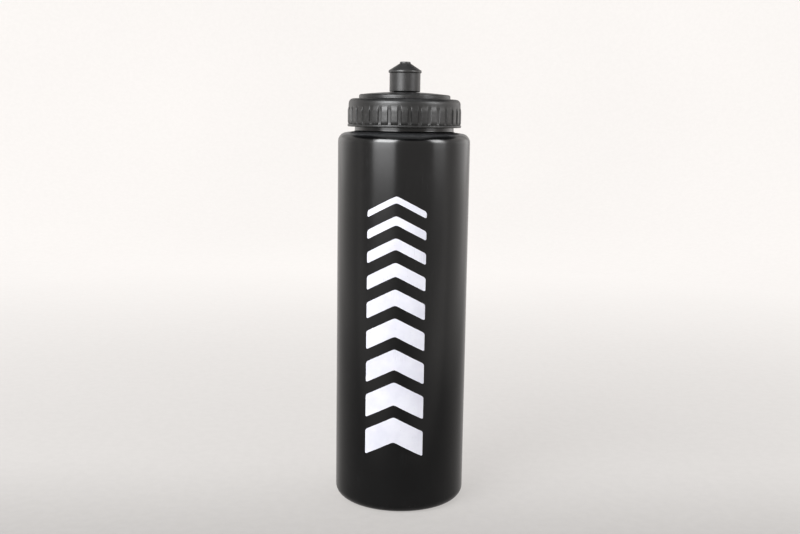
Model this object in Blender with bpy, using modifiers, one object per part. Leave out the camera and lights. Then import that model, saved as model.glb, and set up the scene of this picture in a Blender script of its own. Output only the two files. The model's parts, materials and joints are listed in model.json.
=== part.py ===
"""Sports squeeze bottle: a blow-moulded bottle, a screw lid, its sealing washer and a push-pull valve.

Metres, +Z up. The origin is the centre of the base, where the bottle stands. The model is at rest:
the lid screwed down and the valve pushed in.
"""

from math import cos, pi, radians, sin, sqrt

import bmesh
import bpy
from mathutils import Matrix, Vector

# Facets around every turned piece
TURN_STEPS = 72
VALVE_STEPS = 48
PIN_STEPS = 24

# Gap kept between touching pieces
GAP = 0.0003

# Bottle
BODY_R = 0.0365
BODY_WALL = 0.0012
BASE_CORNER_R = 0.007
BASE_RING_INNER_R = 0.0255
BASE_RING_LIP = 0.0005
BASE_RING_LIP_WIDTH = 0.0015
BASE_PUSH_UP = 0.003
BASE_DISH_R = BASE_RING_INNER_R - 0.006
BASE_FLOOR = 0.0016
SHOULDER_TOP_Z = 0.2066
SHOULDER_CORNER_R = 0.0061
SHOULDER_Z = SHOULDER_TOP_Z - SHOULDER_CORNER_R
SHOULDER_RISE = 0.0005
NECK_R = 0.0273
NECK_WALL = 0.002
NECK_H = 0.0143
NECK_FILLET = 0.0006
NECK_INNER_FILLET = 0.0008
NECK_FOOT_Z = SHOULDER_TOP_Z + SHOULDER_RISE
NECK_TOP_Z = NECK_FOOT_Z + NECK_H

# Screw thread, shared by the neck and the lid
THREAD_LEAD = 0.00423
THREAD_HEIGHT = 0.0014
THREAD_ROOT_WIDTH = 0.0020
THREAD_CREST_WIDTH = 0.0008
THREAD_ROOTED = THREAD_HEIGHT * 0.3
THREAD_RUN_OUT = radians(35)
NECK_THREAD_Z = NECK_TOP_Z - 0.0092
NECK_THREAD_TURNS = 1.5
LID_THREAD_DROP = 0.00155
LID_THREAD_TURNS = 1.25

# Sealing washer
WASHER_R = 0.0286
WASHER_BORE_R = 0.0246
WASHER_THICKNESS = 0.0012
WASHER_Z = NECK_TOP_Z + GAP

# Lid: skirt, grip and plate
LID_PLATE = 0.0017
LID_TOP_Z = WASHER_Z + WASHER_THICKNESS + GAP + LID_PLATE
LID_BOTTOM_Z = NECK_TOP_Z - 0.0117
SKIRT_R = 0.0308
SKIRT_INNER_R = 0.0292
SKIRT_CORNER_R = 0.0034
SKIRT_FOOT_EDGE = 0.0004
HEM_R = 0.0313
HEM_H = 0.0012
HEM_EDGE = 0.0003
PAD_COUNT = 36
PAD_WIDTH = 0.0036
PAD_CREST_R = 0.0312
PAD_ROOTED = 0.0005
PAD_LOW_Z = LID_BOTTOM_Z + 0.0016
PAD_HIGH_Z = PAD_LOW_Z + 0.0082

# Lid: domed crown
CROWN_R = 0.0251
CROWN_EDGE_R = 0.0008
CROWN_EDGE_Z = LID_TOP_Z + 0.0023
CROWN_CENTRE_Z = CROWN_EDGE_Z + 0.0015

# Chimney of the lid, with the ring that stops the valve
CHIMNEY_R = 0.0056
CHIMNEY_BORE_R = 0.0042
CHIMNEY_TOP_Z = LID_TOP_Z + 0.0137
CATCH_R = 0.0062
CATCH_LOW_Z = CHIMNEY_TOP_Z - 0.0028
CATCH_HIGH_Z = CHIMNEY_TOP_Z - 0.0014
CATCH_LEAD_IN = 0.0003
CATCH_SLOPE = 0.0004

# Push-pull valve
VALVE_R = 0.00845
VALVE_BORE_R = 0.0065
VALVE_BOTTOM_Z = CROWN_CENTRE_Z + 0.0001
VALVE_FOOT_EDGE = 0.0003
VALVE_BEAD_R = 0.0059
VALVE_BEAD_EDGE = 0.0002
VALVE_BEAD_TOP_Z = VALVE_BOTTOM_Z + 0.0012
VALVE_CEILING_Z = VALVE_BOTTOM_Z + 0.0108
VALVE_CEILING_RISE = 0.0015
FLANGE_R = 0.00905
FLANGE_LOW_Z = VALVE_BOTTOM_Z + 0.0103
FLANGE_HIGH_Z = FLANGE_LOW_Z + 0.0010
FLANGE_FOOT_EDGE = 0.0002
FLANGE_UNDERCUT = 0.0001
FLANGE_ROUND_R = 0.0008
TIP_R = 0.0029
TIP_EDGE_R = 0.0003
TIP_DRAFT = 0.0001
TIP_TOP_Z = VALVE_BOTTOM_Z + 0.0162
TIP_BASE_Z = TIP_TOP_Z - 0.0009
DRINK_HOLE_R = 0.0019
DRINK_HOLE_LOW_Z = TIP_TOP_Z - 0.0016
DRINK_HOLE_TAPER = 0.0010
SEAL_TUBE_R = 0.0039
SEAL_TUBE_BORE_R = 0.0031
SEAL_TUBE_LOW_Z = VALVE_BOTTOM_Z + 0.0032

# Fixed pin in the chimney that closes the valve, and the arms that carry it
PIN_R = 0.0016
PIN_TIP_Z = TIP_TOP_Z - 0.0002
ARM_COUNT = 3
ARM_WIDTH = 0.0012
ARM_ROOTED = 0.0006
ARM_LOW_Z = CROWN_CENTRE_Z - 0.0002
ARM_HIGH_Z = ARM_LOW_Z + 0.0027


def clear_scene():
    for obj in list(bpy.data.objects):
        bpy.data.objects.remove(obj, do_unlink=True)


def new_collection(name):
    collection = bpy.data.collections.new(name)
    bpy.context.scene.collection.children.link(collection)
    return collection


def plastic(name, colour, roughness):
    material = bpy.data.materials.new(name)
    material.use_nodes = True
    shader = material.node_tree.nodes["Principled BSDF"]
    shader.inputs["Base Color"].default_value = (*colour, 1.0)
    shader.inputs["Roughness"].default_value = roughness
    shader.inputs["Metallic"].default_value = 0.0
    return material


def arc(centre_r, centre_z, radius, start_deg, end_deg, steps):
    """Points on a circle in the r-z plane, both ends included; 0 degrees points outwards, 90 up."""
    points = []
    for i in range(steps + 1):
        angle = radians(start_deg + (end_deg - start_deg) * i / steps)
        points.append((centre_r + radius * cos(angle), centre_z + radius * sin(angle)))
    return points


def mesh_object(name, mesh, collection, material=None):
    obj = bpy.data.objects.new(name, mesh)
    collection.objects.link(obj)
    if material:
        mesh.materials.append(material)
    return obj


def turned(name, profile, collection, material=None, steps=TURN_STEPS, closed=True):
    """A profile in the r-z plane turned once about Z. It runs down its outer side."""
    mesh = bpy.data.meshes.new(name)
    count = len(profile)
    edges = [(i, i + 1) for i in range(count - 1)]
    if closed:
        edges.append((count - 1, 0))
    mesh.from_pydata([(r, 0.0, z) for r, z in profile], edges, [])
    obj = mesh_object(name, mesh, collection, material)
    screw = obj.modifiers.new("Turn", "SCREW")
    screw.axis = "Z"
    screw.angle = 2 * pi
    screw.steps = steps
    screw.render_steps = steps
    screw.use_merge_vertices = True
    screw.merge_threshold = 0.00001
    screw.use_smooth_shade = True
    return obj


def helper(obj):
    obj.hide_render = True
    obj.display_type = "WIRE"
    return obj


def unite(target, other):
    union = target.modifiers.new("Join " + other.name, "BOOLEAN")
    union.operation = "UNION"
    union.solver = "EXACT"
    union.object = other


def blocks_around(name, size, middle_r, middle_z, count, offset, collection):
    """Equal boxes spaced evenly around Z, in one mesh. The offset is a fraction of their spacing."""
    mesh = bpy.data.meshes.new(name)
    shape = bmesh.new()
    for i in range(count):
        turn = Matrix.Rotation(2 * pi * (i + offset) / count, 4, "Z")
        place = turn @ Matrix.Translation(Vector((middle_r, 0.0, middle_z)))
        made = bmesh.ops.create_cube(shape, size=1.0)
        bmesh.ops.scale(shape, vec=size, verts=made["verts"])
        bmesh.ops.transform(shape, matrix=place, verts=made["verts"])
    shape.to_mesh(mesh)
    shape.free()
    return helper(mesh_object(name, mesh, collection))


def ridge(name, wall_r, outward, start_z, turns, collection):
    """A right-hand thread ridge standing on a wall of radius wall_r, fading into it at both ends."""
    sections = round(turns * TURN_STEPS)
    run_out = THREAD_RUN_OUT / (2 * pi) * TURN_STEPS
    shape = bmesh.new()
    rings = []
    for i in range(sections + 1):
        angle = 2 * pi * i / TURN_STEPS
        rise = min(1.0, i / run_out, (sections - i) / run_out)
        # At its ends the crest dips a little below the wall, so that the join leaves no thin face.
        height = THREAD_HEIGHT * rise - THREAD_ROOTED * 0.3 * (1 - rise)
        root_r = wall_r - outward * THREAD_ROOTED
        crest_r = wall_r + outward * height
        z = start_z + THREAD_LEAD * i / TURN_STEPS
        corners = (
            (root_r, z - THREAD_ROOT_WIDTH / 2),
            (crest_r, z - THREAD_CREST_WIDTH / 2),
            (crest_r, z + THREAD_CREST_WIDTH / 2),
            (root_r, z + THREAD_ROOT_WIDTH / 2),
        )
        rings.append([shape.verts.new((r * cos(angle), r * sin(angle), h)) for r, h in corners])
    for low, high in zip(rings, rings[1:]):
        for side in range(4):
            after = (side + 1) % 4
            shape.faces.new((low[side], low[after], high[after], high[side]))
    shape.faces.new(rings[0])
    shape.faces.new(rings[-1])
    bmesh.ops.recalc_face_normals(shape, faces=shape.faces)
    mesh = bpy.data.meshes.new(name)
    shape.to_mesh(mesh)
    shape.free()
    return helper(mesh_object(name, mesh, collection))


def bottle_profile():
    """From the middle of the inside floor, up the inside, over the rim and down the outside."""
    inner_r = BODY_R - BODY_WALL
    inner_corner = BASE_CORNER_R - BODY_WALL
    inner_shoulder = SHOULDER_CORNER_R - BODY_WALL
    inner_foot_z = NECK_FOOT_Z - BODY_WALL
    shoulder_r = BODY_R - SHOULDER_CORNER_R
    bore_r = NECK_R - NECK_WALL
    lip = NECK_WALL / 4
    points = [(0.0, BASE_PUSH_UP + BASE_FLOOR)]
    points.append((BASE_DISH_R, BASE_PUSH_UP + BASE_FLOOR - BASE_RING_LIP))
    points.append((BASE_RING_INNER_R, BASE_FLOOR))
    points += arc(inner_r - inner_corner, BASE_FLOOR + inner_corner, inner_corner, -90, 0, 4)
    points += arc(shoulder_r, SHOULDER_Z, inner_shoulder, 0, 90, 4)
    points.append((bore_r + NECK_INNER_FILLET, inner_foot_z))
    points.append((bore_r, inner_foot_z + NECK_INNER_FILLET))
    points += arc(bore_r + lip, NECK_TOP_Z - lip, lip, 180, 90, 2)
    points += arc(NECK_R - lip, NECK_TOP_Z - lip, lip, 90, 0, 2)
    points += arc(NECK_R + NECK_FILLET, NECK_FOOT_Z + NECK_FILLET, NECK_FILLET, 180, 270, 2)
    points += arc(shoulder_r, SHOULDER_Z, SHOULDER_CORNER_R, 90, 0, 6)
    points += arc(BODY_R - BASE_CORNER_R, BASE_CORNER_R, BASE_CORNER_R, 0, -90, 6)
    points.append((BASE_RING_INNER_R, 0.0))
    points.append((BASE_RING_INNER_R - BASE_RING_LIP_WIDTH, BASE_RING_LIP))
    points.append((BASE_DISH_R, BASE_PUSH_UP - BASE_RING_LIP))
    points.append((0.0, BASE_PUSH_UP))
    return points


def crown_z(r, drop=0.0):
    """Height of the lid's domed crown at radius r, or of a surface a drop below it."""
    edge_r = CROWN_R - CROWN_EDGE_R
    sag = CROWN_CENTRE_Z - CROWN_EDGE_Z
    dome_r = (edge_r * edge_r + sag * sag) / (2 * sag)
    return CROWN_CENTRE_Z - dome_r + sqrt(dome_r * dome_r - r * r) - drop


def dome(start_r, end_r, steps, drop=0.0):
    """Points along the crown from one radius to another, both included."""
    radii = [start_r + (end_r - start_r) * i / steps for i in range(steps + 1)]
    return [(r, crown_z(r, drop)) for r in radii]


def lid_profile():
    """From the top of the chimney down the outside to the hem, and back up the inside."""
    plate_z = LID_TOP_Z - LID_PLATE
    step_r = CROWN_R - LID_PLATE
    crown_edge = CROWN_R - CROWN_EDGE_R
    corner_r = SKIRT_R - SKIRT_CORNER_R
    points = [(CHIMNEY_BORE_R, CHIMNEY_TOP_Z), (CHIMNEY_R, CHIMNEY_TOP_Z)]
    points.append((CHIMNEY_R, CATCH_HIGH_Z + CATCH_LEAD_IN))
    points.append((CATCH_R, CATCH_HIGH_Z - CATCH_SLOPE))
    points.append((CATCH_R, CATCH_LOW_Z))
    points.append((CHIMNEY_R, CATCH_LOW_Z))
    points += dome(CHIMNEY_R, crown_edge, 4)
    points += arc(crown_edge, CROWN_EDGE_Z - CROWN_EDGE_R, CROWN_EDGE_R, 60, 0, 2)
    points.append((CROWN_R, LID_TOP_Z))
    points += arc(corner_r, LID_TOP_Z - SKIRT_CORNER_R, SKIRT_CORNER_R, 90, 0, 5)
    points.append((SKIRT_R, LID_BOTTOM_Z + HEM_H + HEM_EDGE))
    points.append((HEM_R, LID_BOTTOM_Z + HEM_H))
    points.append((HEM_R, LID_BOTTOM_Z + HEM_EDGE))
    points.append((HEM_R - HEM_EDGE, LID_BOTTOM_Z))
    points.append((SKIRT_INNER_R + SKIRT_FOOT_EDGE, LID_BOTTOM_Z))
    points.append((SKIRT_INNER_R, LID_BOTTOM_Z + SKIRT_FOOT_EDGE))
    points.append((SKIRT_INNER_R, plate_z))
    points.append((step_r, plate_z))
    points += dome(step_r, CHIMNEY_BORE_R, 3, LID_PLATE)
    return points


def pin_profile():
    """The fixed pin that fills the drinking hole, from its rounded tip down."""
    tip_r = PIN_R / 2
    points = [(0.0, PIN_TIP_Z)]
    points += arc(PIN_R - tip_r, PIN_TIP_Z - tip_r, tip_r, 90, 0, 3)
    points.append((PIN_R, ARM_LOW_Z))
    points.append((0.0, ARM_LOW_Z))
    return points


def valve_profile():
    """From the drinking hole down the outside of the valve, and back up inside it."""
    points = [(DRINK_HOLE_R, TIP_TOP_Z)]
    points += arc(TIP_R - TIP_EDGE_R, TIP_TOP_Z - TIP_EDGE_R, TIP_EDGE_R, 90, 0, 2)
    points.append((TIP_R + TIP_DRAFT, TIP_BASE_Z))
    points += arc(FLANGE_R - FLANGE_ROUND_R, FLANGE_HIGH_Z, FLANGE_ROUND_R, 62, 0, 3)
    points.append((FLANGE_R, FLANGE_LOW_Z + FLANGE_FOOT_EDGE))
    points.append((FLANGE_R - FLANGE_FOOT_EDGE, FLANGE_LOW_Z))
    points.append((VALVE_R, FLANGE_LOW_Z - FLANGE_UNDERCUT))
    points.append((VALVE_R, VALVE_BOTTOM_Z + VALVE_FOOT_EDGE))
    points.append((VALVE_R - VALVE_FOOT_EDGE, VALVE_BOTTOM_Z))
    points.append((VALVE_BEAD_R + VALVE_BEAD_EDGE, VALVE_BOTTOM_Z))
    points.append((VALVE_BEAD_R, VALVE_BOTTOM_Z + VALVE_BEAD_EDGE))
    points.append((VALVE_BEAD_R, VALVE_BEAD_TOP_Z))
    points.append((VALVE_BORE_R, VALVE_BEAD_TOP_Z))
    points.append((VALVE_BORE_R, VALVE_CEILING_Z))
    points.append((SEAL_TUBE_R, VALVE_CEILING_Z + VALVE_CEILING_RISE))
    points.append((SEAL_TUBE_R, SEAL_TUBE_LOW_Z))
    points.append((SEAL_TUBE_BORE_R, SEAL_TUBE_LOW_Z))
    points.append((SEAL_TUBE_BORE_R, DRINK_HOLE_LOW_Z - DRINK_HOLE_TAPER))
    points.append((DRINK_HOLE_R, DRINK_HOLE_LOW_Z))
    return points


def make_bottle(parts, helpers):
    material = plastic("bottle_plastic", (0.012, 0.012, 0.013), 0.42)
    obj = turned("bottle", bottle_profile(), parts, material, closed=False)
    unite(obj, ridge("neck_thread", NECK_R, 1, NECK_THREAD_Z, NECK_THREAD_TURNS, helpers))
    return obj


def make_lid(parts, helpers):
    obj = turned("lid", lid_profile(), parts, plastic("lid_plastic", (0.020, 0.020, 0.021), 0.45))
    # The lid's ridge lies under the neck's, at the same lead, so that one can run along the other.
    thread_z = NECK_THREAD_Z - LID_THREAD_DROP
    unite(obj, ridge("lid_thread", SKIRT_INNER_R, -1, thread_z, LID_THREAD_TURNS, helpers))
    pad_depth = PAD_CREST_R - SKIRT_R + PAD_ROOTED
    pad_size = (pad_depth, PAD_WIDTH, PAD_HIGH_Z - PAD_LOW_Z)
    pad_r = PAD_CREST_R - pad_depth / 2
    pad_z = (PAD_LOW_Z + PAD_HIGH_Z) / 2
    unite(obj, blocks_around("grip_pads", pad_size, pad_r, pad_z, PAD_COUNT, 0.0, helpers))
    arm_inner = PIN_R - ARM_ROOTED
    arm_outer = CHIMNEY_BORE_R + ARM_ROOTED
    arm_size = (arm_outer - arm_inner, ARM_WIDTH, ARM_HIGH_Z - ARM_LOW_Z)
    arm_r = (arm_inner + arm_outer) / 2
    arm_z = (ARM_LOW_Z + ARM_HIGH_Z) / 2
    unite(obj, blocks_around("pin_arms", arm_size, arm_r, arm_z, ARM_COUNT, 0.25, helpers))
    unite(obj, helper(turned("valve_pin", pin_profile(), helpers, steps=PIN_STEPS, closed=False)))
    return obj


def make_washer(parts):
    high_z = WASHER_Z + WASHER_THICKNESS
    profile = [
        (WASHER_BORE_R, high_z),
        (WASHER_R, high_z),
        (WASHER_R, WASHER_Z),
        (WASHER_BORE_R, WASHER_Z),
    ]
    return turned("sealing_washer", profile, parts, plastic("washer_rubber", (0.55, 0.55, 0.53), 0.6))


def make_valve(parts):
    material = plastic("valve_plastic", (0.022, 0.022, 0.023), 0.4)
    return turned("valve", valve_profile(), parts, material, steps=VALVE_STEPS)


def main():
    clear_scene()
    parts = new_collection("squeeze_bottle")
    helpers = new_collection("helpers")
    make_bottle(parts, helpers)
    make_lid(parts, helpers)
    make_washer(parts)
    make_valve(parts)


main()
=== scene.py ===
import json
from math import atan2, cos, degrees, exp, hypot, pi, radians, sin, sqrt, tan

import bmesh
import bpy
from mathutils import Matrix, Vector, noise


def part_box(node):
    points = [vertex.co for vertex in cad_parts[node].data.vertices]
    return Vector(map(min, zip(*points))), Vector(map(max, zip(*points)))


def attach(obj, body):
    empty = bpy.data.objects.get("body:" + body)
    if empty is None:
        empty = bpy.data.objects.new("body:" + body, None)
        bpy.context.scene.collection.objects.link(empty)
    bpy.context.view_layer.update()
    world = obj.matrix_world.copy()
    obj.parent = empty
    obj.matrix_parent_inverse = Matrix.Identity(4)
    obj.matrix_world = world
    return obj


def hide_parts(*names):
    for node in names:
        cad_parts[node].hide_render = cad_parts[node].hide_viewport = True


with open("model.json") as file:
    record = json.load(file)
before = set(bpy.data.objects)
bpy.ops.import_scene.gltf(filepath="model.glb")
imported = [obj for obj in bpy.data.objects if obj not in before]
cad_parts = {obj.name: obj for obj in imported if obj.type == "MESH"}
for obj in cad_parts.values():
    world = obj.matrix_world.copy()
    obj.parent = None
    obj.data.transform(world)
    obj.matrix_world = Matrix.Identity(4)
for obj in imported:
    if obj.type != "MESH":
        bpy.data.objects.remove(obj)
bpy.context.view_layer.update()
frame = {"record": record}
mm = 0.001

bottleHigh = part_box("bottle")[1]
lidLow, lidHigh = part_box("lid")
washerLow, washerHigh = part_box("sealing_washer")
valveLow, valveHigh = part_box("valve")
screwRatio = frame["record"]["behaviour"]["couplings"][0]["ratio"]
threadLead = screwRatio * 2 * pi
print("frame loaded, thread lead", round(threadLead / mm, 2), "mm")


def smooth(x):
    x = min(1.0, max(0.0, x))
    return x * x * (3 - 2 * x)


def filleted(corners, closed, steps=7):
    # corners are (r, z, fillet radius); each fillet is trimmed to the edges it has
    points = []
    count = len(corners)
    for i, (r, z, fillet) in enumerate(corners):
        here = Vector((r, z))
        ends = not closed and i in (0, count - 1)
        if ends or fillet <= 0:
            points.append((r, z))
            continue
        before = Vector(corners[i - 1][:2]) - here
        after = Vector(corners[(i + 1) % count][:2]) - here
        bend = before.angle(after)
        if bend > radians(178):
            points.append((r, z))
            continue
        reach = min(fillet / tan(bend / 2), before.length * 0.48, after.length * 0.48)
        radius = reach * tan(bend / 2)
        start = here + before.normalized() * reach
        end = here + after.normalized() * reach
        middle = (before.normalized() + after.normalized()).normalized()
        centre = here + middle * (radius / sin(bend / 2))
        a0 = atan2(start.y - centre.y, start.x - centre.x)
        a1 = atan2(end.y - centre.y, end.x - centre.x)
        sweep = (a1 - a0 + pi) % (2 * pi) - pi
        for k in range(steps + 1):
            a = a0 + sweep * k / steps
            points.append((centre.x + radius * cos(a), centre.y + radius * sin(a)))
    return points


def refined(points, closed, stepAt):
    # long edges are split so that none is over stepAt(r, z)
    done = []
    count = len(points)
    for i, a in enumerate(points):
        done.append(a)
        if not closed and i == count - 1:
            break
        b = points[(i + 1) % count]
        length = hypot(b[0] - a[0], b[1] - a[1])
        parts = max(1, round(length / stepAt((a[0] + b[0]) / 2, (a[1] + b[1]) / 2)))
        for k in range(1, parts):
            done.append((a[0] + (b[0] - a[0]) * k / parts, a[1] + (b[1] - a[1]) * k / parts))
    return done


def evenAngles(count):
    return [2 * pi * i / count for i in range(count)]


def latheMesh(name, points, angles, closed, shape=None, coarseAt=None, stride=1):
    # the outline runs down its outer side; rows where coarseAt(r) is true keep every stride-th column
    verts = []
    faces = []
    rows = []
    columns = len(angles)
    for index, (r, z) in enumerate(points):
        if r < 1e-7:
            rows.append([len(verts)])
            verts.append((0.0, 0.0, z))
            continue
        step = stride if coarseAt and coarseAt(r) else 1
        row = []
        for j in range(0, columns, step):
            pr, pz = shape(index, r, z, angles[j]) if shape else (r, z)
            row.append(len(verts))
            verts.append((pr * cos(angles[j]), pr * sin(angles[j]), pz))
        rows.append(row)
    pairs = list(zip(rows, rows[1:]))
    if closed:
        pairs.append((rows[-1], rows[0]))
    for high, low in pairs:
        if len(high) == 1:
            faces += [(high[0], low[j], low[(j + 1) % len(low)]) for j in range(len(low))]
        elif len(low) == 1:
            faces += [(high[j], low[0], high[(j + 1) % len(high)]) for j in range(len(high))]
        elif len(high) == len(low):
            n = len(high)
            faces += [(high[j], low[j], low[(j + 1) % n], high[(j + 1) % n]) for j in range(n)]
        else:
            few, many = (high, low) if len(high) < len(low) else (low, high)
            for j in range(len(few)):
                run = [many[(j * stride + k) % len(many)] for k in range(stride + 1)]
                face = [few[j]] + run + [few[(j + 1) % len(few)]]
                faces.append(face if few is high else face[::-1])
    mesh = bpy.data.meshes.new(name)
    mesh.from_pydata(verts, [], faces)
    mesh.validate()
    mesh.shade_smooth()
    return mesh


def addPiece(name, mesh, material, body, node=None):
    piece = bpy.data.objects.new(name, mesh)
    bpy.context.scene.collection.objects.link(piece)
    mesh.materials.append(material)
    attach(piece, body)
    if node:
        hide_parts(node)
    return piece


def sharpShading(piece, angle=38):
    piece.data.set_sharp_from_angle(angle=radians(angle))
    weighted = piece.modifiers.new("weightedNormals", "WEIGHTED_NORMAL")
    weighted.keep_sharp = True
    weighted.weight = 60


class Wire:
    # a socket that plain arithmetic works on

    def __init__(self, look, socket):
        self.look = look
        self.socket = socket

    def calc(self, operation, *others, clamp=False):
        settings = {"operation": operation, "use_clamp": clamp}
        return self.look.add("ShaderNodeMath", settings, dict(enumerate((self, *others))))

    def flipped(self, operation, other):
        return self.look.add("ShaderNodeMath", {"operation": operation}, {0: other, 1: self})

    def __add__(self, other):
        return self.calc("ADD", other)

    def __radd__(self, other):
        return self.flipped("ADD", other)

    def __sub__(self, other):
        return self.calc("SUBTRACT", other)

    def __rsub__(self, other):
        return self.flipped("SUBTRACT", other)

    def __mul__(self, other):
        return self.calc("MULTIPLY", other)

    def __rmul__(self, other):
        return self.flipped("MULTIPLY", other)

    def __pow__(self, other):
        return self.calc("POWER", other)

    def __abs__(self):
        return self.calc("ABSOLUTE")

    def clamped(self):
        return self.calc("ADD", 0.0, clamp=True)

    def between(self, low, high):
        # 0 under low, 1 over high, and a smooth step from one to the other
        values = {"Value": self, "From Min": low, "From Max": high}
        return self.look.add("ShaderNodeMapRange", {"interpolation_type": "SMOOTHSTEP"}, values)


class Look:
    # one material and its nodes

    def __init__(self, name):
        self.material = bpy.data.materials.new(name)
        self.material.use_nodes = True
        self.tree = self.material.node_tree
        self.shader = self.tree.nodes["Principled BSDF"]
        self.place = self.add("ShaderNodeTexCoord", {}, {}, "Object")

    def pick(self, sockets, key):
        if isinstance(key, int):
            return sockets[key]
        for socket in sockets:
            if socket.identifier == key:
                return socket
        return sockets[key]

    def feed(self, socket, value):
        if isinstance(value, Wire):
            self.tree.links.new(value.socket, socket)
        else:
            socket.default_value = value

    def add(self, kind, settings, values, out=0):
        node = self.tree.nodes.new(kind)
        for key, value in settings.items():
            setattr(node, key, value)
        for key, value in values.items():
            self.feed(self.pick(node.inputs, key), value)
        return Wire(self, self.pick(node.outputs, out))

    def finish(self, **values):
        names = {"colour": "Base Color", "roughness": "Roughness", "normal": "Normal", "ior": "IOR",
                 "glow": "Emission Color", "glowStrength": "Emission Strength"}
        for key, value in values.items():
            self.feed(self.shader.inputs[names[key]], value)
        return self.material

    def stretched(self, sx, sy, sz):
        return self.add("ShaderNodeMapping", {}, {"Vector": self.place, "Scale": (sx, sy, sz)}, "Vector")

    def grain(self, scale, detail=2.0, rough=0.5, vector=None):
        values = {"Vector": vector or self.place, "Scale": scale, "Detail": detail, "Roughness": rough}
        return self.add("ShaderNodeTexNoise", {}, values, "Fac")

    def cells(self, scale):
        return self.add("ShaderNodeTexVoronoi", {}, {"Vector": self.place, "Scale": scale}, "Distance")

    def mix(self, amount, first, second):
        values = {"Factor_Float": amount, "A_Color": first, "B_Color": second}
        return self.add("ShaderNodeMix", {"data_type": "RGBA"}, values, "Result_Color")

    def axes(self):
        return [self.add("ShaderNodeSeparateXYZ", {}, {"Vector": self.place}, axis) for axis in "XYZ"]

    def turned(self):
        # distance from the bottle's axis, and height
        x, y, z = self.axes()
        return (x * x + y * y) ** 0.5, z

    def bump(self, height, distance):
        values = {"Height": height, "Distance": distance, "Strength": 1.0}
        return self.add("ShaderNodeBump", {}, values, "Normal")

    def scratches(self, scale, turn, width, amount):
        # hairlines: thin bands of a stretched noise, kept only where a coarser noise is high
        values = {"Vector": self.place, "Rotation": turn, "Scale": (scale, scale, scale * 0.035)}
        along = self.add("ShaderNodeMapping", {}, values, "Vector")
        thin = 1 - abs(self.grain(1.0, 2.0, 0.55, along) - 0.5).between(0.0, width)
        patch = self.grain(scale * 0.06, 2.0, 0.5).between(0.52, 0.66)
        return thin * patch * amount


def grey(value, warm=0.0):
    return (value * (1 + warm), value, value * (1 - warm), 1.0)


bottleFinish = {
    "dark": (0.0020, 0.0021, 0.0024, 1.0),
    "light": (0.0034, 0.0035, 0.0038, 1.0),
    "scuff": (0.045, 0.046, 0.048, 1.0),
    # painted light: the lighter colour of the film on the shaded shoulder under the lid
    "paintedLightFilm": (0.080, 0.082, 0.086, 1.0),
    "roughness": 0.20,
    "ior": 1.52,
    "peelScale": 620.0,
    "peelHeight": 0.0000045,
}


def bottlePlastic():
    s = bottleFinish
    neckR = bottleShape["neckR"]
    look = Look("bottlePlastic")
    radius, z = look.turned()
    flow = look.grain(1.0, 3.0, 0.55, look.stretched(140, 140, 6))
    cloud = look.grain(26.0, 3.0, 0.6)
    colour = look.mix(cloud.between(0.3, 0.7), s["dark"], s["light"])
    standing = 1 - z.between(0.0, 2.2 * mm)
    baseRub = (1 - z.between(0.5 * mm, 8.5 * mm)) * look.grain(420.0, 4.0, 0.7).between(0.5, 0.72)
    shoulder = z.between(shoulderEdge - 7.4 * mm, shoulderEdge - 2.4 * mm)
    shoulder = shoulder * (1 - z.between(shoulderEdge - 0.4 * mm, shoulderEdge + 0.9 * mm))
    shoulderRub = shoulder * look.grain(300.0, 4.0, 0.7).between(0.60, 0.78)
    hair = look.scratches(900.0, (0.12, 0.05, 0.3), 0.018, 0.6)
    hair = hair + look.scratches(700.0, (1.35, 0.2, 0.8), 0.015, 0.45)
    specks = (1 - look.cells(240.0).between(0.0, 0.085)) * look.grain(45.0, 2.0, 0.5).between(0.52, 0.62)
    wear = (baseRub * 0.45 + shoulderRub * 0.22 + hair * 0.35 + specks * 0.18 + standing * 0.12).clamped()
    colour = look.mix(wear, colour, s["scuff"])
    # a lighter, rougher film on the shoulder round the neck: its lighter colour is painted light that
    # lifts the shade under the lid's skirt
    paintedLightFilm = z.between(shoulderEdge - 1.3 * mm, shoulderEdge + 0.3 * mm)
    paintedLightFilm = paintedLightFilm * radius.between(neckR - 0.1 * mm, neckR + 1.1 * mm)
    paintedLightFilm = paintedLightFilm * (0.70 + look.grain(180.0, 3.0, 0.6).between(0.35, 0.65) * 0.25)
    colour = look.mix(paintedLightFilm, colour, s["paintedLightFilm"])
    patchy = look.grain(60.0, 4.0, 0.6)
    roughness = s["roughness"] + (patchy - 0.5) * 0.07 + (flow - 0.5) * 0.05 + wear * 0.22 + paintedLightFilm * 0.15
    roughness = roughness + (1 - radius.between(neckR - 0.3 * mm, neckR + 0.7 * mm)) * 0.04
    peel = look.grain(s["peelScale"], 2.0, 0.5)
    fine = look.grain(4200.0, 2.0, 0.6)
    height = peel + (flow - 0.5) * 0.8 + fine * 0.18 - hair * 0.5
    normal = look.bump(height, s["peelHeight"])
    return look.finish(colour=colour, roughness=roughness, normal=normal, ior=s["ior"])


lidFinish = {
    "dark": (0.0140, 0.0141, 0.0141, 1.0),
    "light": (0.0220, 0.0221, 0.0220, 1.0),
    "rubbed": (0.100, 0.100, 0.101, 1.0),
    "roughness": 0.39,
    "ior": 1.52,
    "textureHeight": 0.0000062,
}


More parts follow.
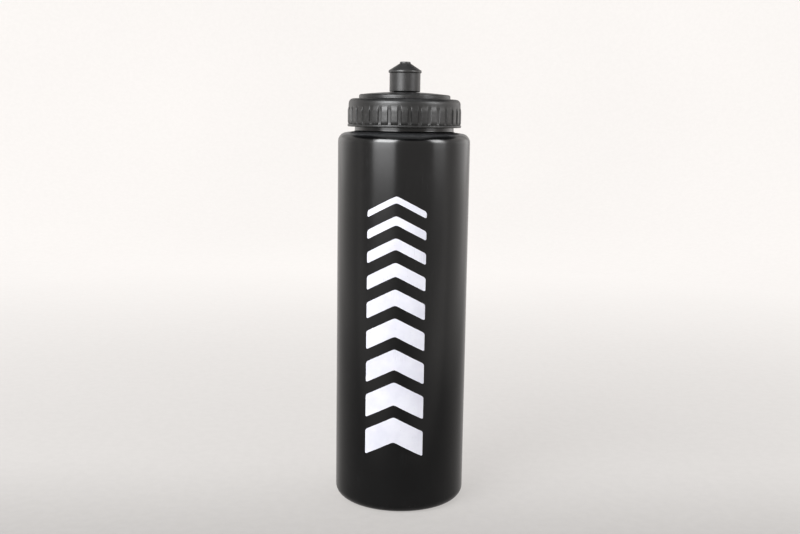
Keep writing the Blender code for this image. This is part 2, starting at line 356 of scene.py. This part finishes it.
def mouldedPlastic(name, finish, edgeAt, edgeReach):
    # spark-textured moulded plastic; edgeAt(look) is a mask of the places that get handled
    look = Look(name)
    cloud = look.grain(55.0, 3.0, 0.6)
    colour = look.mix(cloud.between(0.3, 0.7), finish["dark"], finish["light"])
    rub = edgeAt(look) * look.grain(520.0, 4.0, 0.7).between(0.42, 0.75)
    hair = look.scratches(1100.0, (0.2, 1.2, 0.4), 0.02, 0.6)
    specks = (1 - look.cells(420.0).between(0.0, 0.10)) * look.grain(90.0, 2.0, 0.5).between(0.55, 0.63)
    wear = (rub * edgeReach + hair * 0.3 + specks * 0.22).clamped()
    colour = look.mix(wear, colour, finish["rubbed"])
    patchy = look.grain(120.0, 4.0, 0.6)
    roughness = finish["roughness"] + (patchy - 0.5) * 0.08 - rub * 0.07 + hair * 0.1
    texture = look.grain(2600.0, 3.0, 0.6) + look.cells(3400.0) * 0.5
    normal = look.bump(texture - hair * 0.4, finish["textureHeight"])
    return look.finish(colour=colour, roughness=roughness, normal=normal, ior=finish["ior"])


def lidEdges(look):
    s = lidShape
    radius, z = look.turned()
    pads = radius.between(s["padR"] - 0.15 * mm, s["padR"] + 0.02 * mm)
    crown = radius.between(s["crownR"] - 1.3 * mm, s["crownR"] - 0.3 * mm)
    crown = crown * z.between(lidFlat + 1.3 * mm, lidFlat + 2.1 * mm)
    rounding = radius.between(s["topR"] - 2.3 * mm, s["topR"] - 0.8 * mm)
    rounding = rounding * z.between(lidFlat - 2.1 * mm, lidFlat - 0.7 * mm)
    return (pads + crown + rounding).clamped()


valveFinish = {
    "dark": (0.0350, 0.0350, 0.0350, 1.0),
    "light": (0.0480, 0.0480, 0.0480, 1.0),
    "rubbed": (0.150, 0.150, 0.150, 1.0),
    "roughness": 0.40,
    "ior": 1.50,
    "textureHeight": 0.0000062,
}


def valveEdges(look):
    radius, z = look.turned()
    flange = radius.between(valveHigh.x - 0.20 * mm, valveHigh.x - 0.01 * mm)
    tip = z.between(valveHigh.z - 1.0 * mm, valveHigh.z - 0.2 * mm)
    return (flange + tip * 0.7).clamped()


washerFinish = {
    "dark": (0.50, 0.50, 0.47, 1.0),
    "light": (0.60, 0.60, 0.57, 1.0),
    "roughness": 0.58,
}


def washerRubber():
    s = washerFinish
    look = Look("washerRubber")
    colour = look.mix(look.grain(90.0, 3.0, 0.6).between(0.3, 0.7), s["dark"], s["light"])
    roughness = s["roughness"] + (look.grain(300.0, 3.0) - 0.5) * 0.1
    normal = look.bump(look.grain(1800.0, 3.0), 0.000006)
    return look.finish(colour=colour, roughness=roughness, normal=normal)


inkFinish = {
    "dark": (0.56, 0.57, 0.635, 1.0),
    "light": (0.63, 0.64, 0.695, 1.0),
    "through": (0.10, 0.10, 0.11, 1.0),     # where the bottle shows through
    "roughness": 0.44,
    "ior": 1.5,
}


def printInk():
    s = inkFinish
    look = Look("printInk")
    colour = look.mix(look.grain(70.0, 3.0, 0.6).between(0.3, 0.7), s["dark"], s["light"])
    pin = (1 - look.cells(900.0).between(0.05, 0.16)) * look.grain(110.0, 2.0, 0.5).between(0.58, 0.66)
    hair = look.scratches(800.0, (0.3, 0.1, 0.2), 0.014, 0.7)
    thinSpots = (pin * 0.75 + hair * 0.3).clamped()
    colour = look.mix(thinSpots, colour, s["through"])
    roughness = s["roughness"] + (look.grain(240.0, 3.0, 0.6) - 0.5) * 0.1
    screen = look.grain(2400.0, 2.0, 0.5)   # the print screen's fine tooth
    normal = look.bump(screen - pin * 0.8, 0.000005)
    return look.finish(colour=colour, roughness=roughness, normal=normal, ior=s["ior"])


bottleShape = {
    "wall": 1.2 * mm,
    "baseCorner": 7.0 * mm,
    "ringInner": 25.5 * mm,
    "pushUp": 3.0 * mm,
    "floor": 1.6 * mm,
    "shoulderDrop": 14.3 * mm,      # from the rim down to the shoulder's outer edge line
    "shoulderSlope": 1.2 * mm,
    "shoulderCorner": 6.1 * mm,
    "neckR": 27.3 * mm,
    "neckWall": 2.0 * mm,
    "threadFoot": 9.2 * mm,         # from the rim down to the thread's start
    "threadTurns": 1.5,
    "threadHeight": 1.4 * mm,
    "threadRoot": 2.0 * mm,
    "threadCrest": 0.8 * mm,
    "runOut": 35 / 360,
    "seam": 0.07 * mm,
    "seamWidth": 0.28 * mm,
    "weld": 0.35 * mm,              # the line across the base
    "weldWidth": 0.55 * mm,
    "wave": 0.045 * mm,
    "columns": 240,
}
shoulderZ = bottleHigh.z - bottleShape["shoulderDrop"]
shoulderEdge = shoulderZ - bottleShape["shoulderSlope"]


def threadRise(shape, angle, z, startZ, turns):
    # height of the ridge over the wall at this place
    best = 0.0
    around = (angle % (2 * pi)) / (2 * pi)
    for k in range(int(turns) + 1):
        t = around + k
        if t > turns:
            continue
        away = abs(z - startZ - threadLead * t)
        if away > shape["threadRoot"] / 2:
            continue
        flank = (shape["threadRoot"] - shape["threadCrest"]) / 2
        rise = smooth((shape["threadRoot"] / 2 - away) / flank)
        fade = smooth(min(t, turns - t) / shape["runOut"])
        best = max(best, rise * fade * shape["threadHeight"])
    return best


def makeBottle(material):
    s = bottleShape
    bodyR = bottleHigh.x
    rim = bottleHigh.z
    bore = s["neckR"] - s["neckWall"]
    innerR = bodyR - s["wall"]
    up = s["pushUp"] + s["floor"]
    ring = s["ringInner"]
    corners = [
        (0.0, up, 0),
        (ring - 6 * mm, up - 0.5 * mm, 6 * mm),
        (ring + 0.5 * mm, s["floor"], 2 * mm),
        (innerR, s["floor"], s["baseCorner"] - s["wall"]),
        (innerR, shoulderEdge - s["wall"], s["shoulderCorner"] - s["wall"]),
        (bore, shoulderZ - s["wall"], 1.2 * mm),
        (bore, rim, 0.55 * mm),
        (s["neckR"], rim, 0.8 * mm),
        (s["neckR"], shoulderZ, 0.9 * mm),
        (bodyR, shoulderEdge, s["shoulderCorner"]),
        (bodyR, 0.0, s["baseCorner"]),
        (ring, 0.0, 1.4 * mm),
        (ring - 6 * mm, s["pushUp"] - 0.5 * mm, 5 * mm),
        (0.0, s["pushUp"], 0),
    ]
    threadStart = rim - s["threadFoot"]
    threadEnd = threadStart + threadLead * s["threadTurns"]

    def stepAt(r, z):
        if r > bore + 1 * mm and threadStart - 1.5 * mm < z < threadEnd + 1.5 * mm and r < 28 * mm:
            return 0.2 * mm
        if z < 6 * mm:
            return 1.2 * mm
        return 3.5 * mm if z < shoulderEdge - 8 * mm else 0.8 * mm

    outline = refined(filleted(corners, False, 9), False, stepAt)
    top = max(range(len(outline)), key=lambda i: (outline[i][1], outline[i][0]))

    def shape(index, r, z, angle):
        if index <= top:
            return r, z
        if r < s["neckR"] + 0.01 * mm and z > shoulderZ:
            return r + threadRise(s, angle, z, threadStart, s["threadTurns"]), z
        fromSeam = min(abs(angle - pi), angle, 2 * pi - angle) * r
        line = s["seam"] * exp(-(fromSeam / s["seamWidth"]) ** 2)
        if z > s["baseCorner"] * 0.4 and r > s["neckR"]:
            calm = smooth((z - 8 * mm) / (20 * mm)) * smooth((shoulderEdge - 3 * mm - z) / (20 * mm))
            spot = Vector((cos(angle) * 1.1, sin(angle) * 1.1, z * 18))
            return r + line + s["wave"] * calm * noise.noise(spot), z
        if r < ring - 1 * mm:
            across = abs(sin(angle)) * r
            weld = s["weld"] * exp(-(across / s["weldWidth"]) ** 2)
            return r, z - weld * smooth((19 * mm - r) / (3 * mm))
        return r, z

    angles = evenAngles(s["columns"])
    near = [0.12, 0.24, 0.38, 0.55, 0.8, 1.1]   # more columns beside the parting lines, in degrees
    for centre in (0.0, pi):
        angles += [(centre + side * radians(a)) % (2 * pi) for a in near for side in (-1, 1)]
    angles = sorted(set(round(a, 7) for a in angles))
    mesh = latheMesh("bottleShell", outline, angles, False, shape)
    piece = addPiece("bottleShell", mesh, material, "bottle", "bottle")
    sharpShading(piece)
    print("bottle", len(mesh.polygons), "faces")


lidShape = {
    "topR": 30.8 * mm,
    "cornerR": 3.4 * mm,
    "topDrop": 13.7 * mm,           # from the chimney's top to the flat ring round the crown
    "innerR": 29.2 * mm,
    "plate": 1.7 * mm,
    "crownR": 25.1 * mm,
    "crownEdge": 2.3 * mm,          # height of the crown's edge over the ring
    "crownRise": 1.5 * mm,
    "padR": 31.2 * mm,
    "slotR": 30.66 * mm,
    "padWidth": 3.6 * mm,
    "padFlank": 0.42 * mm,
    "padCount": 36,
    "padLow": 1.6 * mm,             # over the hem's foot
    "padHigh": 9.8 * mm,
    "hem": 1.25 * mm,
    "pinOver": 6.2 * mm,            # from the chimney's top up to the pin's tip
    "chimneyR": 5.6 * mm,
    "chimneyBore": 4.2 * mm,
    "catchR": 6.2 * mm,
    "catchLow": 2.8 * mm,           # the catch and the arms are measured down from the chimney's top
    "catchHigh": 1.4 * mm,
    "threadDrop": 1.55 * mm,
    "threadTurns": 1.25,
    "pinR": 1.6 * mm,
    "armWidth": 1.2 * mm,
    "armLow": 10.1 * mm,
    "armHigh": 7.4 * mm,
}
chimneyTop = lidHigh.z - lidShape["pinOver"]
lidFlat = chimneyTop - lidShape["topDrop"]


def crownHeight(r):
    s = lidShape
    edge = s["crownR"] - 0.8 * mm
    rise = s["crownRise"]
    domeR = (edge * edge + rise * rise) / (2 * rise)
    return lidFlat + s["crownEdge"] + rise - domeR + sqrt(domeR * domeR - r * r)


def makeLid(material):
    s = lidShape
    foot = lidLow.z
    hemR = lidHigh.x
    domeRadii = [s["chimneyR"] + (s["crownR"] - s["chimneyR"]) * k / 9 for k in range(1, 9)]
    step = s["crownR"] - s["plate"]
    underRadii = [step + (s["chimneyBore"] - step) * k / 7 for k in range(1, 7)]
    corners = [
        (s["chimneyBore"], chimneyTop, 0.25 * mm),
        (s["chimneyR"], chimneyTop, 0.3 * mm),
        (s["chimneyR"], chimneyTop - s["catchHigh"] + 0.3 * mm, 0.15 * mm),
        (s["catchR"], chimneyTop - s["catchHigh"] - 0.4 * mm, 0.3 * mm),
        (s["catchR"], chimneyTop - s["catchLow"], 0.12 * mm),
        (s["chimneyR"], chimneyTop - s["catchLow"], 0.12 * mm),
        (s["chimneyR"], crownHeight(s["chimneyR"]), 0.7 * mm),
    ]
    corners += [(r, crownHeight(r), 0) for r in domeRadii]
    corners += [
        (s["crownR"], crownHeight(s["crownR"]), 0.9 * mm),
        (s["crownR"], lidFlat, 0.4 * mm),
        (s["topR"], lidFlat, s["cornerR"]),
        (s["topR"], foot + s["hem"] + 0.12 * mm, 0.2 * mm),
        (hemR, foot + s["hem"], 0.25 * mm),
        (hemR, foot, 0.4 * mm),
        (s["innerR"], foot, 0.5 * mm),
        (s["innerR"], lidFlat - s["plate"], 0.5 * mm),
        (step, lidFlat - s["plate"], 0.4 * mm),
        (step, crownHeight(step) - s["plate"], 0.6 * mm),
    ]
    corners += [(r, crownHeight(r) - s["plate"], 0) for r in underRadii]
    corners.append((s["chimneyBore"], crownHeight(s["chimneyBore"]) - s["plate"], 0.3 * mm))
    outline = filleted(corners, True, 6)
    threadStart = bottleHigh.z - bottleShape["threadFoot"] - s["threadDrop"]
    threadEnd = threadStart + threadLead * s["threadTurns"]
    padLow = foot + s["padLow"]
    padHigh = foot + s["padHigh"]

    def stepAt(r, z):
        outer = r > s["topR"] - 0.2 * mm
        if outer and (abs(z - padLow) < 0.9 * mm or abs(z - padHigh) < 0.9 * mm):
            return 0.15 * mm
        if outer:
            return 0.9 * mm
        if abs(r - s["innerR"]) < 0.1 * mm and threadStart - 1.2 * mm < z < threadEnd + 1.2 * mm:
            return 0.25 * mm
        return 1.6 * mm

    outline = refined(outline, True, stepAt)
    pitch = 2 * pi / s["padCount"]
    halfPad = s["padWidth"] / 2 / s["padR"]
    soft = s["padFlank"] / s["padR"]

    def shape(index, r, z, angle):
        if abs(r - s["topR"]) < 0.02 * mm and foot + s["hem"] < z < lidFlat - s["cornerR"] + 0.01 * mm:
            fromPad = abs((angle + pitch / 2) % pitch - pitch / 2)
            inPad = smooth((halfPad + soft / 2 - fromPad) / soft)
            fromEnd = min(z - padLow, padHigh - z)
            band = smooth((fromEnd + 0.25 * mm) / (0.5 * mm))
            target = s["slotR"] + (s["padR"] - s["slotR"]) * inPad
            return r + (target - r) * band, z
        if abs(r - s["innerR"]) < 0.02 * mm and z < lidFlat - s["plate"] - 0.5 * mm:
            return r - threadRise(bottleShape, angle, z, threadStart, s["threadTurns"]), z
        return r, z

    # columns, in degrees from a pad's middle, crowd where its flanks are
    edge = degrees(halfPad)
    blend = degrees(soft)
    offsets = [-180 / s["padCount"]] + [blend * a - edge for a in (-0.9, -0.5, -0.25, 0, 0.25, 0.5, 0.9)]
    offsets += [-1.2, 1.2] + [-a for a in offsets[:0:-1]]
    stride = len(offsets)
    angles = []
    for k in range(s["padCount"]):
        angles += [radians(360 / s["padCount"] * k + a) for a in offsets]
    coarse = s["chimneyR"] + 1.8 * mm
    # known fault: the columns don't divide by this step, so the last face that joins a coarse row
    # to a fine one laps over its neighbour
    mesh = latheMesh("screwLid", outline, angles, True, shape, lambda r: r < coarse, stride // 2)
    piece = addPiece("screwLid", mesh, material, "lid", "lid")
    sharpShading(piece)
    print("lid", len(mesh.polygons), "faces,", stride, "columns a pad")


def makePin(material):
    # the fixed pin and its three arms, in the lid's chimney
    s = lidShape
    tip = lidHigh.z
    armLow = chimneyTop - s["armLow"]
    armHigh = chimneyTop - s["armHigh"]
    outline = filleted([
        (0.0, tip, 0),
        (s["pinR"], tip, 0.8 * mm),
        (s["pinR"], armLow, 0.3 * mm),
        (0.0, armLow, 0),
    ], False, 8)
    outline = refined(outline, False, lambda r, z: 2.5 * mm)
    mesh = latheMesh("valvePin", outline, evenAngles(48), False)
    shape = bmesh.new()
    shape.from_mesh(mesh)
    armStart = s["pinR"] * 0.6
    armEnd = s["chimneyBore"] + 0.6 * mm
    for k in range(3):
        made = bmesh.ops.create_cube(shape, size=1.0)
        size = (armEnd - armStart, s["armWidth"], armHigh - armLow)
        bmesh.ops.scale(shape, vec=size, verts=made["verts"])
        turn = Matrix.Rotation(2 * pi * (k + 0.25) / 3, 4, "Z")
        shift = Matrix.Translation(((armStart + armEnd) / 2, 0, (armHigh + armLow) / 2))
        bmesh.ops.transform(shape, matrix=turn @ shift, verts=made["verts"])
        edges = [e for e in shape.edges if all(v in made["verts"] for v in e.verts)]
        bmesh.ops.bevel(shape, geom=edges, offset=0.18 * mm, segments=3, profile=0.5, affect="EDGES")
    shape.to_mesh(mesh)
    shape.free()
    mesh.shade_smooth()
    piece = addPiece("valvePin", mesh, material, "lid", "lid")
    sharpShading(piece)
    print("pin", len(mesh.polygons), "faces")


washerShape = {
    "width": 4.0 * mm,
    "round": 0.28 * mm,
    "dent": 0.12 * mm,              # the mark that the neck's rim has pressed in
    "dentWidth": 0.9 * mm,
}


def makeWasher(material):
    s = washerShape
    outer = washerHigh.x
    inner = outer - s["width"]
    low, high = washerLow.z, washerHigh.z
    corners = [(inner, high), (outer, high), (outer, low), (inner, low)]
    outline = filleted([(r, z, s["round"]) for r, z in corners], True, 5)
    outline = refined(outline, True, lambda r, z: 0.5 * mm)
    pressed = (bottleShape["neckR"] * 2 - bottleShape["neckWall"]) / 2

    def shape(index, r, z, angle):
        if z < low + 0.05 * mm:
            return r, z + s["dent"] * exp(-((r - pressed) / s["dentWidth"]) ** 2)
        return r, z

    mesh = latheMesh("lidWasher", outline, evenAngles(160), True, shape)
    piece = addPiece("lidWasher", mesh, material, "washer", "sealing_washer")
    sharpShading(piece)
    print("washer", len(mesh.polygons), "faces")


valveShape = {
    "stemR": 8.45 * mm,
    "boreR": 6.5 * mm,
    "beadR": 5.9 * mm,
    "beadHeight": 1.2 * mm,
    "flangeLow": 5.9 * mm,          # these four and tubeLow are measured down from the tip
    "flangeHigh": 4.75 * mm,
    "tipBase": 0.9 * mm,
    "ceiling": 5.4 * mm,
    "tipR": 2.9 * mm,
    "holeR": 1.9 * mm,
    "tubeR": 3.9 * mm,
    "tubeBore": 3.1 * mm,
    "tubeLow": 13.0 * mm,
}


def makeValve(material):
    s = valveShape
    top = valveHigh.z
    foot = valveLow.z
    flangeR = valveHigh.x
    corners = [
        (s["holeR"], top, 0.18 * mm),
        (s["tipR"], top, 0.4 * mm),
        (s["tipR"] + 0.1 * mm, top - s["tipBase"], 0.5 * mm),
        (flangeR, top - s["flangeHigh"], 0.55 * mm),
        (flangeR, top - s["flangeLow"], 0.28 * mm),
        (s["stemR"], top - s["flangeLow"] - 0.1 * mm, 0.22 * mm),
        (s["stemR"], foot, 0.4 * mm),
        (s["beadR"], foot, 0.3 * mm),
        (s["beadR"], foot + s["beadHeight"], 0.2 * mm),
        (s["boreR"], foot + s["beadHeight"], 0.2 * mm),
        (s["boreR"], top - s["ceiling"], 0.4 * mm),
        (s["tubeR"], top - s["ceiling"] + 1.5 * mm, 0.3 * mm),
        (s["tubeR"], top - s["tubeLow"], 0.2 * mm),
        (s["tubeBore"], top - s["tubeLow"], 0.2 * mm),
        (s["tubeBore"], top - 2.6 * mm, 0.4 * mm),
        (s["holeR"], top - 1.6 * mm, 0.3 * mm),
    ]
    outline = refined(filleted(corners, True, 7), True, lambda r, z: 0.7 * mm)
    mesh = latheMesh("pullValve", outline, evenAngles(144), True)
    piece = addPiece("pullValve", mesh, material, "valve", "valve")
    sharpShading(piece, 50)
    print("valve", len(mesh.polygons), "faces")


printShape = {
    "count": 9,
    "low": 32.5 * mm,
    "high": 174.5 * mm,
    "width": 32.5 * mm,
    "turn": -5.5,                   # degrees round from the front
    "rise": 8.5 * mm,
    "thickest": 14.0 * mm,
    "thinnest": 3.6 * mm,
    "corner": 1.1 * mm,
    "ink": 0.06 * mm,
    "root": 0.10 * mm,              # how deep the ink's back lies in the wall
}


def chevronMesh(shape, low, stroke, wallR):
    # one closed band of ink wrapped on the wall, pointing up
    s = printShape
    half = s["width"] / 2
    corner = min(s["corner"], stroke * 0.42)
    stations = [-half + corner * (1 - cos(pi / 2 * k / 6)) for k in range(7)]
    inner = half - corner
    stations += [-inner + 2 * inner * k / 40 for k in range(1, 40)]
    stations += [-x for x in stations[6::-1]]
    turn = radians(-90 + s["turn"])
    rows = 5
    front = []
    back = []
    for x in stations:
        inset = max(0.0, abs(x) - inner)
        pull = corner - sqrt(max(0.0, corner * corner - inset * inset))
        peak = s["rise"] * (1 - sqrt((x / half) ** 2 + 0.0025))
        frontRow = []
        backRow = []
        for k in range(rows):
            z = low + peak + pull + (stroke - 2 * pull) * k / (rows - 1)
            outerRow = k in (0, rows - 1)
            if outerRow:
                z += 0.05 * mm * noise.noise(Vector((x * 900, z * 900, low * 50)))  # not a ruled edge
            angle = turn + x / wallR
            edge = outerRow or x in (stations[0], stations[-1])
            r = wallR + s["ink"] * (0.55 if edge else 1.0)
            frontRow.append(shape.verts.new((r * cos(angle), r * sin(angle), z)))
            deep = wallR - s["root"]
            backRow.append(shape.verts.new((deep * cos(angle), deep * sin(angle), z)))
        front.append(frontRow)
        back.append(backRow)
    last = len(stations) - 1
    for i in range(last):
        for k in range(rows - 1):
            shape.faces.new((front[i][k], front[i + 1][k], front[i + 1][k + 1], front[i][k + 1]))
            shape.faces.new((back[i][k], back[i][k + 1], back[i + 1][k + 1], back[i + 1][k]))
        shape.faces.new((front[i][0], back[i][0], back[i + 1][0], front[i + 1][0]))
        shape.faces.new((front[i][-1], front[i + 1][-1], back[i + 1][-1], back[i][-1]))
    for k in range(rows - 1):
        shape.faces.new((front[0][k], front[0][k + 1], back[0][k + 1], back[0][k]))
        shape.faces.new((front[last][k], back[last][k], back[last][k + 1], front[last][k + 1]))


def makePrint(material):
    s = printShape
    count = s["count"]
    strokes = [s["thickest"] + (s["thinnest"] - s["thickest"]) * k / (count - 1) for k in range(count)]
    gap = (s["high"] - s["low"] - s["rise"] - sum(strokes)) / (count - 1)
    shape = bmesh.new()
    z = s["low"]
    for stroke in strokes:
        chevronMesh(shape, z, stroke, bottleHigh.x)
        z += stroke + gap
    bmesh.ops.remove_doubles(shape, verts=shape.verts, dist=1e-7)
    bmesh.ops.recalc_face_normals(shape, faces=shape.faces)
    mesh = bpy.data.meshes.new("printedChevrons")
    shape.to_mesh(mesh)
    shape.free()
    mesh.shade_smooth()
    piece = addPiece("printedChevrons", mesh, material, "bottle")
    sharpShading(piece, 45)
    print("print", len(mesh.polygons), "faces, gap", round(gap / mm, 1), "mm")


makeBottle(bottlePlastic())
lidPlastic = mouldedPlastic("lidPlastic", lidFinish, lidEdges, 0.30)
makeLid(lidPlastic)
makePin(lidPlastic)
makeWasher(washerRubber())
makeValve(mouldedPlastic("valvePlastic", valveFinish, valveEdges, 0.30))
makePrint(printInk())


stageLook = {
    "paper": 0.11,                  # what the paper gives back of the lamps' light
    "glow": 0.285,                  # its own even light, as on a light table
    "table": 0.122,                 # more light from the table's front edge to under the bottle
    "behind": 0.148,                # and more again towards the wall
    "front": 0.26,                  # two bright fields before the bottle, left and right
    "sides": 0.45,                  # bright walls beside and before the bottle
    "right": 0.16,                  # and a little more on the right
    "fall": 0.06,                   # less light far out in front
    "cloud": 0.03,                  # unevenness
    "tint": (1.030, 1.0, 0.978),
    "floorR": 0.85,                 # flat as far as this, then it sweeps up
    "bend": 0.60,
    "bendSteps": 12,
    "wallTop": 1.25,
    "columns": 96,
}


def stageMaterial():
    s = stageLook
    look = Look("studioPaper")
    x, y, z = look.axes()
    deep = y + z * 0.3
    front = y.between(-0.42, -0.24) * (1 - y.between(-0.14, -0.07)) * abs(x).between(0.02, 0.10)
    sides = (abs(x) - y * 0.4).between(0.23, 0.60) * (0.55 + z.between(0.0, 0.25) * 0.45)
    light = s["glow"] + y.between(-0.12, 0.06) * s["table"] + deep.between(0.0, 0.95) * s["behind"]
    light = light - (1 - y.between(-1.1, -0.25)) * s["fall"]
    light = light + front * s["front"] + sides * s["sides"]
    light = light + (x - y * 0.4).between(0.21, 0.44) * s["right"]
    light = light + (look.grain(2.2, 3.0, 0.5) - 0.5) * s["cloud"]
    channels = {axis: light * part for axis, part in zip("XYZ", s["tint"])}
    glow = look.add("ShaderNodeCombineXYZ", {}, channels, "Vector")
    fibre = look.grain(160.0, 3.0, 0.6)
    paper = s["paper"]
    colour = look.mix(fibre.between(0.3, 0.7), grey(paper * 0.94, 0.02), grey(paper * 1.06, 0.02))
    roughness = 0.86 + (look.grain(40.0) - 0.5) * 0.1
    normal = look.bump(look.grain(900.0, 3.0), 0.00001)
    return look.finish(colour=colour, roughness=roughness, normal=normal, glow=glow, glowStrength=1.0)


def makeStage():
    # a round paper sweep: floor, bend and wall, seen from its inside
    s = stageLook
    wallR = s["floorR"] + s["bend"]
    path = [(wallR, s["wallTop"]), (wallR, s["wallTop"] * 0.6), (wallR, s["bend"])]
    for k in range(1, s["bendSteps"] + 1):
        a = pi / 2 * k / s["bendSteps"]
        path.append((s["floorR"] + s["bend"] * cos(a), s["bend"] - s["bend"] * sin(a)))
    path += [(s["floorR"] * k / 6, 0.0) for k in range(5, 0, -1)] + [(0.0, 0.0)]
    mesh = latheMesh("studioSweep", path, evenAngles(s["columns"]), False)
    mesh.flip_normals()
    sweep = bpy.data.objects.new("studioSweep", mesh)
    bpy.context.scene.collection.objects.link(sweep)
    mesh.materials.append(stageMaterial())


# turn is degrees to the right of the camera side; height and away are the lamp's place.
# the soft lamp lights the matt surfaces, the others only shine in the glossy ones
lamps = {
    "soft": {"turn": -44, "height": 0.92, "away": 1.10, "size": (0.95, 0.80), "power": 12.5},
    "keyLow": {"turn": -34, "height": 0.335, "away": 1.10, "size": (0.78, 0.40), "power": 5.0},
    "keyCore": {"turn": -34, "height": 0.84, "away": 1.10, "size": (0.78, 0.66), "power": 20.0},
    "fillLow": {"turn": 63, "height": 0.355, "away": 1.08, "size": (0.46, 0.40), "power": 1.45},
    "fill": {"turn": 63, "height": 0.80, "away": 1.08, "size": (0.46, 0.60), "power": 7.2},
    "overhead": {"turn": 0, "height": 1.75, "away": 0.10, "size": (1.50, 1.50), "power": 6.0},
    "leftPanel": {"turn": -128, "height": 0.30, "away": 1.15, "size": (1.10, 0.40), "power": 0.35},
    "rightPanel": {"turn": 124, "height": 0.30, "away": 1.15, "size": (1.00, 0.40), "power": 0.45},
}
lampTint = (0.985, 0.99, 1.0)
lampAim = Vector((0, 0, 0.14))


def makeLamp(name, lamp):
    data = bpy.data.lights.new(name, "AREA")
    data.shape = "RECTANGLE"
    data.size, data.size_y = lamp["size"]
    data.energy = lamp["power"]
    data.color = lampTint
    light = bpy.data.objects.new(name, data)
    turn = radians(lamp["turn"])
    light.location = (sin(turn) * lamp["away"], -cos(turn) * lamp["away"], lamp["height"])
    light.rotation_mode = "QUATERNION"
    light.rotation_quaternion = (lampAim - light.location).to_track_quat("-Z", "Y")
    light.visible_camera = False
    light.visible_diffuse = name == "soft"
    light.visible_glossy = name != "soft"
    bpy.context.scene.collection.objects.link(light)


airLook = {
    "tint": (0.97, 0.98, 1.0, 1.0),
    "strength": 0.12,
}


def makeWorld():
    world = bpy.data.worlds.new("studioAir")
    world.use_nodes = True
    shade = world.node_tree.nodes["Background"]
    shade.inputs["Color"].default_value = airLook["tint"]
    shade.inputs["Strength"].default_value = airLook["strength"]
    bpy.context.scene.world = world


cameraAt = {
    "place": (-0.0012, -0.5658, 0.2169),
    "down": 8.59,
    "roll": 0.86,
    "lens": 45.66,
    "sensor": 36.0,
}


def makeCamera():
    data = bpy.data.cameras.new("studioCamera")
    data.lens = cameraAt["lens"]
    data.sensor_width = cameraAt["sensor"]
    data.clip_start = 0.01
    camera = bpy.data.objects.new("studioCamera", data)
    tilt = Matrix.Rotation(radians(90 - cameraAt["down"]), 4, "X")
    roll = Matrix.Rotation(radians(cameraAt["roll"]), 4, "Z")
    camera.matrix_world = Matrix.Translation(cameraAt["place"]) @ tilt @ roll
    bpy.context.scene.collection.objects.link(camera)
    bpy.context.scene.camera = camera


makeStage()
for lampName, lamp in lamps.items():
    makeLamp(lampName, lamp)
makeWorld()
makeCamera()
bpy.context.scene.view_settings.view_transform = "Standard"
bpy.context.scene.view_settings.look = "High Contrast"
print("stage, lamps and camera set")
